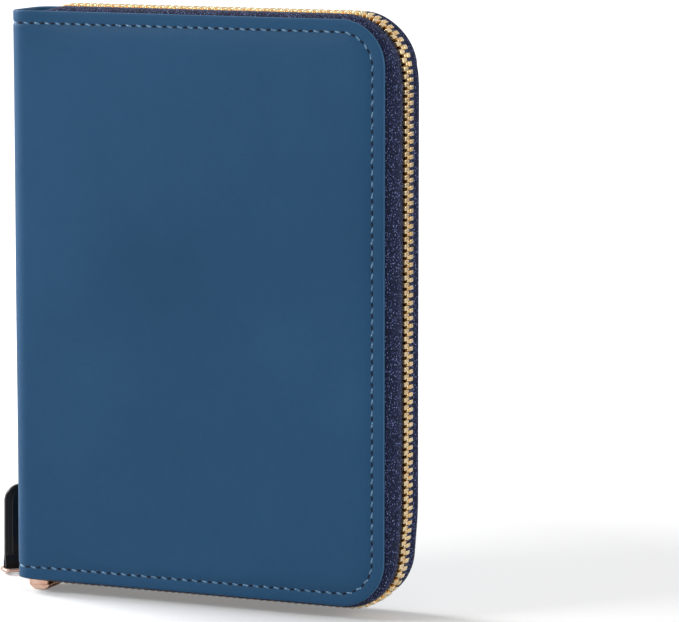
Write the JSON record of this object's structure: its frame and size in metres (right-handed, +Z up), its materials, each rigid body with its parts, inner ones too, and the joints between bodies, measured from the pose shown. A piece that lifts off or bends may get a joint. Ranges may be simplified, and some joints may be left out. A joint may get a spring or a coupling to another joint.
{
  "type": "travel document holder",
  "caption": "Zip-around leather holder for a passport and travel papers, closed, with padded covers, metal teeth, a slider with its pull and a leather strap.",
  "frame": {"origin": "middle of the part's box, on the surface that it stands on", "axes": "+Z up along the spine, +X from the spine towards the open edge, front cover facing -Y"},
  "size_m": [0.1238, 0.0302, 0.1559],
  "materials": {
    "blue_leather": "smooth matte grained leather",
    "seam_thread": "twisted polyester thread",
    "navy_tape": "woven zip tape",
    "gold_metal": "polished gold plate",
    "rose_metal": "polished rose gold plate",
    "black_leather": "glossy black leather",
    "lining_fabric": "smooth woven lining",
    "pocket_leather": "smooth matte leather",
    "board": "grey board",
    "foam": "thin soft foam"
  },
  "bodies": {
    "case": {"outer_cover": "blue_leather", "seam_thread": "seam_thread", "lining": "lining_fabric", "spine_board": "board", "front_foam": "foam", "front_board": "board", "back_foam": "foam", "back_board": "board", "slip_pocket": "pocket_leather", "card_pocket_1": "pocket_leather", "card_pocket_2": "pocket_leather", "card_pocket_3": "pocket_leather", "card_pocket_4": "pocket_leather", "passport_sleeve": "pocket_leather", "ticket_pocket": "pocket_leather", "front_tape": "navy_tape", "back_tape": "navy_tape", "front_teeth": "gold_metal", "back_teeth": "gold_metal", "front_top_stop": "gold_metal", "back_top_stop": "gold_metal", "end_stop": "gold_metal"},
    "slider": {"slider": "rose_metal"},
    "pull": {"pull": "rose_metal"},
    "strap": {"strap": "black_leather"}
  },
  "joints": [
    {"name": "slider_travel", "type": "slide", "parent": "case", "child": "slider", "axis": [1, 0, 0], "range_m": [0, 0.08], "deforming": ["front_teeth", "back_teeth"]},
    {"name": "pull_swing", "type": "hinge", "parent": "slider", "child": "pull", "pos_m": [-0.04675, -0.00027, 0.00125], "axis": [-0.7193, -0.6947, 0], "range_deg": [0, 120]},
    {"name": "strap_swing", "type": "hinge", "parent": "pull", "child": "strap", "pos_m": [-0.05714, 0.01049, 0.00125], "axis": [-0.7193, -0.6947, 0], "range_deg": [0, 150]}
  ]
}
